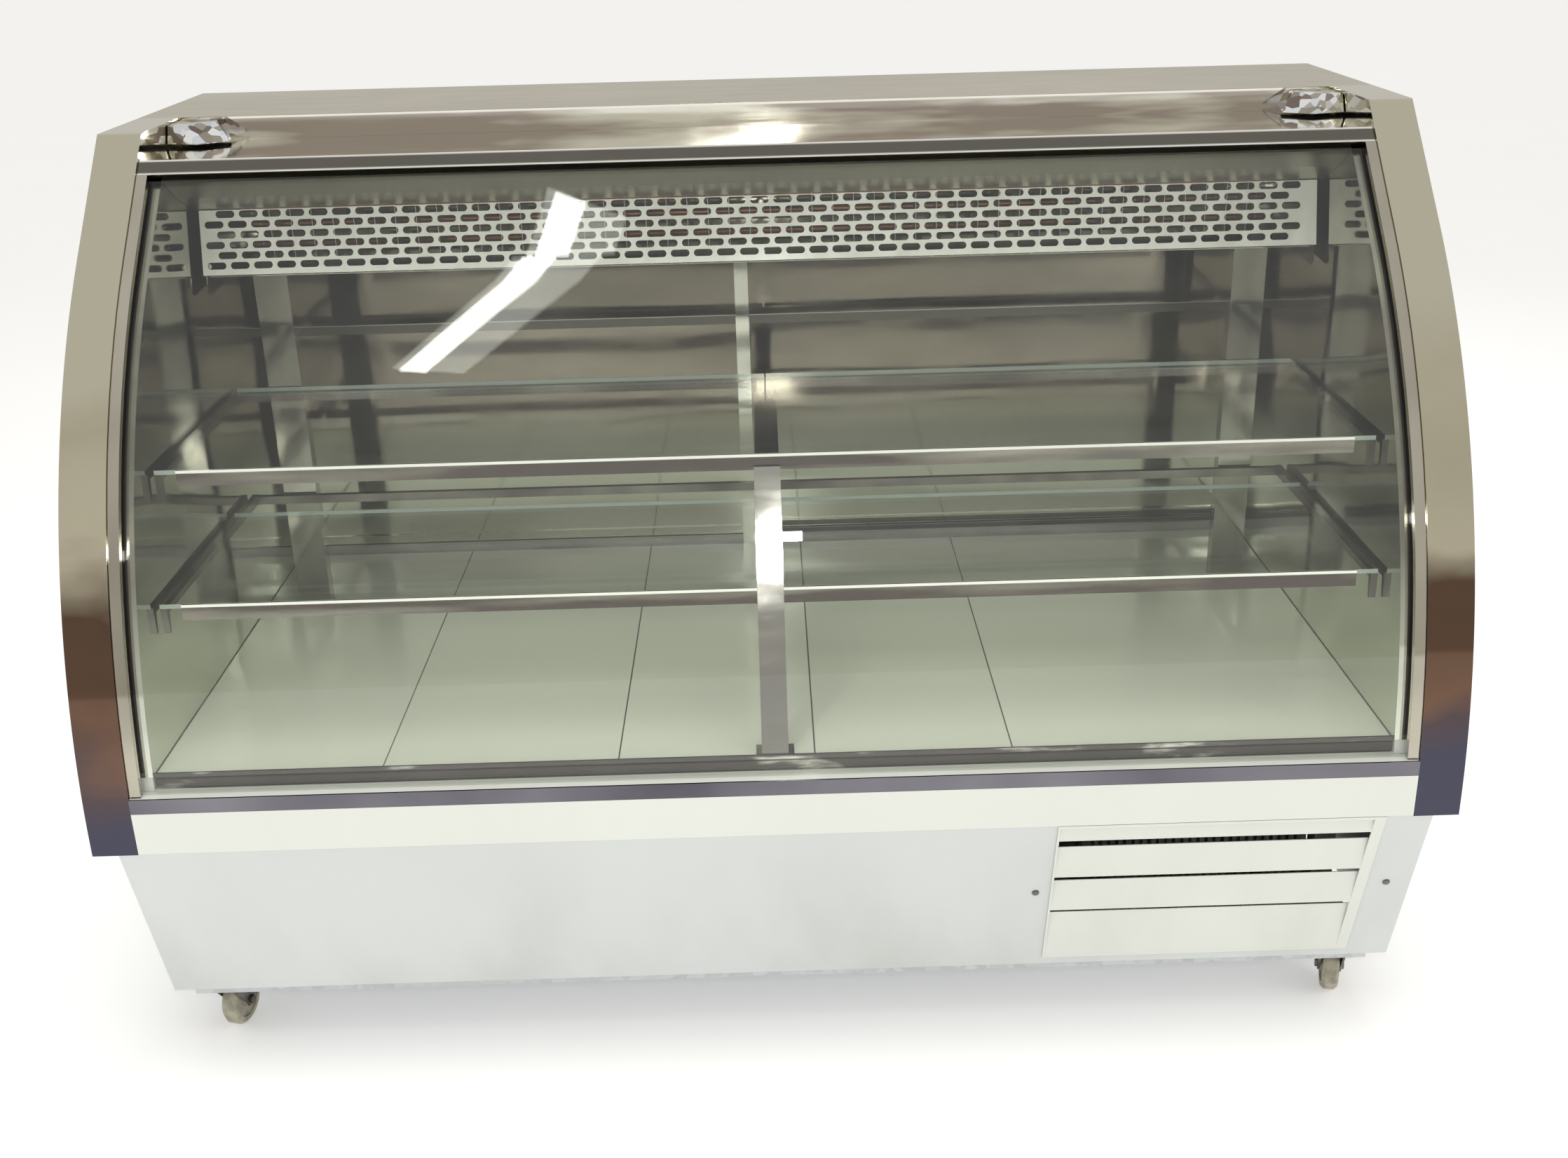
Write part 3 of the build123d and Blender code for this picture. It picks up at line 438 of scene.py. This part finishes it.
# Screws of the grille and the control plate.
# Zinc-plated pan heads, 9 mm across, with a round recess for the driver.
screw_zinc = Finish("screw_zinc_plate", Metallic=1.0)
wear_mark = screw_zinc.noise(220.0, 3.0)
screw_zinc.feed(
    Base_Color=screw_zinc.mix(wear_mark.step(0.4, 0.8), (0.60, 0.60, 0.57), (0.26, 0.24, 0.21)),
    Roughness=0.22 + wear_mark * 0.2)
head_r = 0.0045
screw = start("cylinder", "grille_screw_1", vertices=24, radius=head_r, depth=0.0024)
pick(screw, lambda f: f.normal.z > 0.9)
bpy.ops.mesh.bevel(offset=0.0009, segments=3)
pick(screw, lambda f: f.normal.z > 0.9)
bpy.ops.mesh.inset(thickness=0.0012)
bpy.ops.mesh.extrude_region_move(TRANSFORM_OT_translate={"value": (0, 0, -0.0010)})
bpy.ops.object.mode_set(mode="OBJECT")
low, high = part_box("evaporator_grille")
lean = atan2(high.y - low.y, high.z - low.z)
facing_out = Matrix.Rotation(radians(90) - lean, 4, "X")
screw_home = Matrix.Translation((-0.795, low.y + 0.0055, low.z + 0.012)) @ facing_out
screw.data.transform(screw_home)
close_up(screw, screw_zinc)
rise = Vector((0, high.y - low.y, high.z - low.z)) - Vector((0, 0.0035, 0.022))
for count, (along_x, up) in enumerate(((0, 1), (0.797, 0), (0.797, 1), (1.590, 0), (1.590, 1)), 2):
    again(screw, "grille_screw_%d" % count,
          Matrix.Translation(Vector((along_x, 0, 0)) + rise * up))

# Display floor: five lift-out panels in glossy cream enamel; the dark seams between them are painted shade on
# the slab below.
# Each panel is a shade of its own and has fine wear from trays.
deck = Finish("deck_cream_enamel", Coat_Weight=0.8, Coat_Roughness=0.05, Specular_IOR_Level=0.5)
along = deck.axis("X")
panel_tone = sum((along > seam) * change for seam, change in (
    (-0.515, 0.5), (-0.206, -0.3), (0.052, 0.6), (0.312, -0.4)))
wear = deck.noise(30.0, 4.0, deck.stretched((1, 0.25, 1)))
stain = deck.noise(3.2, 3.0)
cream = deck.mix(stain.step(0.3, 0.75) * 0.7 + panel_tone * 0.4, (0.89, 0.94, 0.79), (0.84, 0.89, 0.74))
deck.feed(
    Base_Color=deck.mix(wear.step(0.62, 0.9) * 0.06, cream, (0.62, 0.62, 0.52)),
    Roughness=0.14 + wear * 0.06 + panel_tone * 0.03,
    Normal=deck.bump(deck.noise(5.0, 1.0), 0.0012, 0.35))
deck.put_on("deck_panels")


# White painted shell: base, louvre, bumper, sill, rear panel and insulated walls.
# Powder coat with a fine orange peel, greyer towards the floor and dusty in the corners.
def powder_coat(name, clean, worn, peel=0.00012):
    """White powder coat that soils towards the floor."""
    coat = Finish(name, Coat_Weight=0.35, Coat_Roughness=0.12)
    peel_up = coat.noise(520.0, 2.0)
    soil = coat.noise(7.0, 5.0, coat.stretched((1, 1, 0.35)))
    low_down = 1.0 - coat.axis("Z").step(0.09, 0.40)
    wash = coat.noise(1.1, 2.0)
    tone = coat.mix(wash.step(0.3, 0.7), clean, tuple(c * 0.95 for c in clean))
    coat.feed(
        Base_Color=coat.mix(soil.step(0.42, 0.8) * (0.15 + 0.5 * low_down), tone, worn),
        Roughness=0.30 + soil * 0.18,
        Normal=coat.bump(peel_up, peel, 0.5, coat.bump(coat.noise(2.0, 1.0), 0.004, 0.3)))
    return coat


base_paint = powder_coat("base_white_paint", (0.66, 0.69, 0.68), (0.50, 0.51, 0.48))
base_paint.put_on("base_front_panel", "base_side_left", "base_side_right", "rear_lower_panel")
louvre_paint = powder_coat("louvre_white_paint", (0.76, 0.78, 0.72), (0.56, 0.57, 0.52))
louvre_paint.put_on("louvre_panel")
slab_paint = powder_coat("slab_white_paint", (0.76, 0.78, 0.74), (0.56, 0.57, 0.53))
# The slab's top, seen in the seams between the floor panels, is painted near black, a painted shade.
painted_seam_shade = slab_paint.axis("Z") > 0.484
slab_paint.feed(Base_Color=slab_paint.mix(painted_seam_shade, (0.74, 0.76, 0.72), (0.06, 0.05, 0.035)))
slab_paint.put_on("insulated_floor")
bumper_paint = powder_coat("bumper_white_paint", (0.78, 0.80, 0.74), (0.62, 0.62, 0.56))
bumper_paint.put_on("front_bumper", "glass_ledge")
wall_paint = powder_coat("wall_white_paint", (0.84, 0.85, 0.82), (0.68, 0.68, 0.63))
wall_paint.put_on("end_panel_left", "end_panel_right")


# Rear tracks: satin anodised aluminium channels above and below the sliding doors.
# Grey rub marks follow the doors' travel; the top channel under the header is painted dark olive, a painted
# shade, with a lighter band at its top, a painted highlight.
track = Finish("track_anodised_aluminium", Metallic=1.0)
rub = track.noise(60.0, 3.0, track.stretched((0.15, 1, 1)))
high_up = track.axis("Z") > 0.6
bare = track.mix(rub.step(0.4, 0.8), (0.70, 0.70, 0.70), (0.45, 0.45, 0.45))
# Top channel: painted dark olive as painted shade under the header; the lighter band along its top is a
# painted highlight.
painted_highlight_rim = track.axis("Z").step(0.8905, 0.8915)
painted_shade_channel = track.mix(painted_highlight_rim, (0.16, 0.155, 0.13), (0.50, 0.49, 0.42))
track.feed(
    Base_Color=track.mix(high_up, bare, painted_shade_channel),
    Roughness=0.30 + rub * 0.15)
track.put_on("door_tracks")


# Controls: textured black plastic plate, ribbed knob and rocker switch.
# The plastic has a fine grain and greys on the corners that hands touch.
black_plastic = Finish("control_black_plastic")
grain = black_plastic.noise(900.0, 2.0)
touch = black_plastic.noise(40.0, 3.0)
black_plastic.feed(
    Base_Color=black_plastic.mix(touch.step(0.5, 0.85), (0.018, 0.018, 0.02), (0.06, 0.06, 0.06)),
    Roughness=0.42 + grain * 0.2,
    Normal=black_plastic.bump(grain, 0.0001, 0.5))
black_plastic.put_on("control_panel", "thermostat_knob", "power_switch")


# Marks of the controls: a ring of dial ticks, the knob's pointer and a green lamp.
# Printed or moulded plastic, a little proud of the plate.
mark_white = Finish("mark_white_print")
chip = mark_white.noise(300.0, 3.0)
mark_white.feed(
    Base_Color=mark_white.mix(chip.step(0.55, 0.8), (0.80, 0.80, 0.78), (0.40, 0.40, 0.39)),
    Roughness=0.40 + chip * 0.2)
plate_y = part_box("control_panel")[1].y
knob_low, knob_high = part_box("thermostat_knob")
knob_middle = (knob_low + knob_high) / 2
tick = start("cube", "dial_tick_0", size=1.0, scale=(0.0010, 0.0006, 0.0045),
             location=(knob_middle.x, plate_y + 0.0003, knob_middle.z - 0.0225))
pick(tick, lambda f: f.normal.y > 0.9)
bpy.ops.mesh.inset(thickness=0.00015)
bpy.ops.mesh.extrude_region_move(TRANSFORM_OT_translate={"value": (0, 0.0002, 0)})
close_up(tick, mark_white)
to_knob = Matrix.Translation((knob_middle.x, 0, knob_middle.z))
for count in range(1, 10):
    turned = to_knob @ Matrix.Rotation(radians(30 * count), 4, "Y") @ to_knob.inverted()
    again(tick, "dial_tick_%d" % count, turned)
pointer = start("cube", "knob_pointer", size=1.0, scale=(0.0014, 0.0006, 0.0100),
                location=(knob_middle.x, knob_high.y + 0.0003, knob_middle.z + 0.0090))
pick(pointer, lambda f: f.normal.y > 0.9)
bpy.ops.mesh.inset(thickness=0.0003)
bpy.ops.mesh.extrude_region_move(TRANSFORM_OT_translate={"value": (0, 0.0003, 0)})
close_up(pointer, mark_white, "thermostat")

lamp_green = Finish("pilot_green_lens", Coat_Weight=0.8, Coat_Roughness=0.05)
inner = lamp_green.noise(260.0, 2.0)
lamp_green.feed(
    Base_Color=lamp_green.mix(inner.step(0.3, 0.7), (0.03, 0.42, 0.10), (0.10, 0.62, 0.20)),
    Roughness=0.14 + inner * 0.1)
pilot = start("cylinder", "pilot_lamp", vertices=32, radius=0.0065, depth=0.004,
              location=(0.676, plate_y + 0.002, knob_middle.z), rotation=(-radians(90), 0, 0))
pick(pilot, lambda f: f.normal.z > 0.9)
bpy.ops.mesh.inset(thickness=0.0012)
bpy.ops.mesh.extrude_region_move(TRANSFORM_OT_translate={"value": (0, 0.0022, 0)})
bpy.ops.mesh.bevel(offset=0.0015, segments=4)
close_up(pilot, lamp_green)

plate_low, plate_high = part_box("control_panel")
flat_out = Matrix.Rotation(-radians(90), 4, "X")
for count, (x, z) in enumerate((
        (plate_low.x + 0.009, plate_low.z + 0.009), (plate_low.x + 0.009, plate_high.z - 0.009),
        (plate_high.x - 0.009, plate_low.z + 0.009), (plate_high.x - 0.009, plate_high.z - 0.009)), 1):
    again(screw, "plate_screw_%d" % count,
          Matrix.Translation((x, plate_y + 0.0010, z)) @ flat_out @ screw_home.inverted())


# Condensing unit: black enamelled shell and shroud, finned copper coil, aluminium fan.
# All of it carries kitchen dust.
enamel = Finish("compressor_black_enamel", Coat_Weight=0.5, Coat_Roughness=0.2)
dirt = enamel.noise(22.0, 4.0)
enamel.feed(
    Base_Color=enamel.mix(dirt.step(0.45, 0.8), (0.012, 0.012, 0.014), (0.10, 0.09, 0.075)),
    Roughness=0.30 + dirt * 0.3,
    Normal=enamel.bump(enamel.noise(260.0, 2.0), 0.0002, 0.4))
enamel.put_on("compressor", "fan_shroud")

# Compressor's terminal box: the electrical cover on the side of the shell.
# Moulded black plastic with a raised panel and rounded edges, clipped on.
low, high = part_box("compressor")
shell_middle = (low + high) / 2
box_cover = start("cube", "terminal_box", size=1.0, scale=(0.050, 0.022, 0.060),
                  location=(shell_middle.x, high.y + 0.012, shell_middle.z))
pick(box_cover, lambda f: f.normal.y > 0.9)
bpy.ops.mesh.inset(thickness=0.005)
bpy.ops.mesh.extrude_region_move(TRANSFORM_OT_translate={"value": (0, 0.003, 0)})
bpy.ops.mesh.select_all(action="SELECT")
bpy.ops.mesh.bevel(offset=0.0025, segments=3)
close_up(box_cover, black_plastic)

copper = Finish("pipe_copper", Metallic=1.0)
tarnish = copper.noise(16.0, 4.0)
copper.feed(
    Base_Color=copper.mix(tarnish.step(0.35, 0.7), (0.78, 0.40, 0.24), (0.30, 0.15, 0.09)),
    Roughness=0.22 + tarnish * 0.3)
copper.put_on("refrigerant_pipes")

fins = Finish("condenser_fin_aluminium", Metallic=1.0)
lint = fins.noise(30.0, 4.0)
comb = fins.node("Math", {"operation": "PINGPONG"}, {0: fins.axis("X") * 1000.0, 1: 1.25})
fins.feed(
    Base_Color=fins.mix(lint.step(0.5, 0.75), (0.42, 0.42, 0.41), (0.20, 0.17, 0.13)),
    Roughness=0.38 + lint * 0.3,
    Normal=fins.bump(comb, 0.0008, 0.8))
fins.put_on("condenser")

blade = Finish("fan_aluminium", Metallic=1.0)
spun = blade.noise(70.0, 3.0)
blade.feed(
    Base_Color=blade.mix(spun.step(0.45, 0.8), (0.66, 0.66, 0.66), (0.36, 0.34, 0.30)),
    Roughness=0.32 + spun * 0.2)
blade.put_on("condenser_fan")


# Base tray and posts: zinc-coated folded steel, spot-welded.
# The coating has a faint spangle of flat grey flakes.
galvanised = Finish("tray_galvanised_steel", Metallic=1.0)
spangle = galvanised.node("TexVoronoi", {}, {"Vector": galvanised.place, "Scale": 70.0}, "Color")
flake = galvanised.axis("X", spangle)
galvanised.feed(
    Base_Color=galvanised.mix(flake, (0.44, 0.46, 0.47), (0.58, 0.60, 0.61)),
    Roughness=0.34 + flake * 0.16)
galvanised.put_on("base_frame")


# Casters: zinc-plated pressed forks and plates, moulded cream nylon wheels.
# The plating is dull at the swivel, and the treads are scuffed grey.
zinc = Finish("caster_zinc_plate", Metallic=1.0)
dull = zinc.noise(46.0, 4.0)
zinc.feed(
    Base_Color=zinc.mix(dull.step(0.4, 0.75), (0.22, 0.20, 0.19), (0.09, 0.08, 0.075)),
    Roughness=0.26 + dull * 0.28,
    Normal=zinc.bump(dull, 0.0004, 0.4))
corners = ("front_left", "front_right", "rear_left", "rear_right")
zinc.put_on("caster_plates", "panel_screws", *("caster_fork_" + c for c in corners),
            "caster_brake_front_left", "caster_brake_front_right")
nylon = Finish("wheel_cream_nylon")
scuff = nylon.noise(55.0, 5.0)
nylon.feed(
    Base_Color=nylon.mix(scuff.step(0.4, 0.75), (0.44, 0.41, 0.31), (0.20, 0.18, 0.145)),
    Roughness=0.38 + scuff * 0.3,
    Normal=nylon.bump(scuff, 0.0006, 0.5))
nylon.put_on(*("caster_wheel_" + c for c in corners))


# Floor and light: a pale floor, soft lamps, a flash and one ceiling tube with its reflector.
# The camera stands where a customer does, a little above the glass.
bpy.ops.object.select_all(action="DESELECT")
bpy.ops.mesh.primitive_plane_add(size=60)
ground = bpy.context.object
ground.name = "pale_floor"
floor_paint = Finish("floor_pale", Roughness=0.7, Emission_Strength=0.25)
floor_paint.shader.inputs["Emission Color"].default_value = (1, 1, 1, 1)
floor_paint.feed(Base_Color=floor_paint.mix(
    floor_paint.noise(1.5, 2.0), (0.90, 0.90, 0.90), (0.93, 0.93, 0.92)))
ground.data.materials.append(floor_paint.material)

world = bpy.data.worlds.new("studio")
bpy.context.scene.world = world
world.use_nodes = True
air = world.node_tree
direction = air.nodes.new("ShaderNodeTexCoord")
parts = air.nodes.new("ShaderNodeSeparateXYZ")
sky = air.nodes.new("ShaderNodeValToRGB")
sky.color_ramp.elements[0].position = 0.0
sky.color_ramp.elements[0].color = (0.80, 0.78, 0.73, 1)
sky.color_ramp.elements[1].position = 0.6
sky.color_ramp.elements[1].color = (1.0, 0.99, 0.96, 1)
air.links.new(direction.outputs["Generated"], parts.inputs[0])
air.links.new(parts.outputs["Z"], sky.inputs[0])
air.links.new(sky.outputs[0], air.nodes["Background"].inputs["Color"])
air.nodes["Background"].inputs["Strength"].default_value = 0.72


def lamp(name, place, aim, size, power, colour=(1, 1, 1), shine=False, turn=0.0):
    """An area lamp; one without shine lights the case but does not mirror in it."""
    light = bpy.data.lights.new(name, "AREA")
    light.shape = "RECTANGLE"
    light.size, light.size_y = size
    light.energy = power
    light.color = colour
    holder = bpy.data.objects.new(name, light)
    bpy.context.scene.collection.objects.link(holder)
    holder.location = place
    facing = (Vector(aim) - Vector(place)).to_track_quat("-Z", "Y").to_matrix()
    holder.rotation_euler = (facing @ Matrix.Rotation(turn, 3, "Z")).to_euler()
    holder.visible_glossy = shine


lamp("ceiling_softbox", (0.2, -0.6, 3.4), (0, 0, 0.5), (3.6, 2.4), 34, (1.0, 0.98, 0.94))
lamp("front_softbox", (-1.8, -3.6, 2.0), (0, 0, 0.6), (1.6, 1.6), 9)
lamp("right_softbox", (3.4, -1.6, 1.8), (0, 0, 0.6), (1.4, 1.4), 16, (1.0, 0.96, 0.88))
lamp("rear_softbox", (0.5, 3.6, 2.4), (0, 0, 0.6), (2.4, 1.4), 20)
lamp("flash", (0.02, -2.42, 1.70), (0.0, 0.0, 0.8), (0.12, 0.08), 4, shine=True)
tube_turn = atan2(1.21, 0.50)
lamp("tube_over", (-0.71, -0.97, 3.0), (-0.71, -0.97, 0), (1.31, 0.075), 4.5, (1.0, 1.0, 0.96), True,
     tube_turn)
lamp("tube_reflector", (-0.67, -0.98, 3.01), (-0.67, -0.98, 0), (1.30, 0.20), 2.2, (0.98, 1.0, 0.92),
     True, tube_turn)

pitch, yaw, roll = radians(22.25), radians(0.48), radians(1.51)
right = Vector((cos(yaw), -sin(yaw), 0))
ahead = Vector((sin(yaw), cos(yaw), 0))
forward = cos(pitch) * ahead - sin(pitch) * Vector((0, 0, 1))
up = sin(pitch) * ahead + cos(pitch) * Vector((0, 0, 1))
turned_right = cos(roll) * right - sin(roll) * up
turned_up = sin(roll) * right + cos(roll) * up
camera_data = bpy.data.cameras.new("camera")
camera_data.lens = 38.85
camera_data.shift_x = -0.0026
camera_data.shift_y = -0.0047
camera = bpy.data.objects.new("camera", camera_data)
bpy.context.scene.collection.objects.link(camera)
camera.matrix_world = Matrix.Translation((0.0065, -2.394, 1.554)) @ Matrix(
    (turned_right, turned_up, -forward)).transposed().to_4x4()
bpy.context.scene.camera = camera
bpy.context.scene.view_settings.view_transform = "Standard"

bpy.context.view_layer.update()
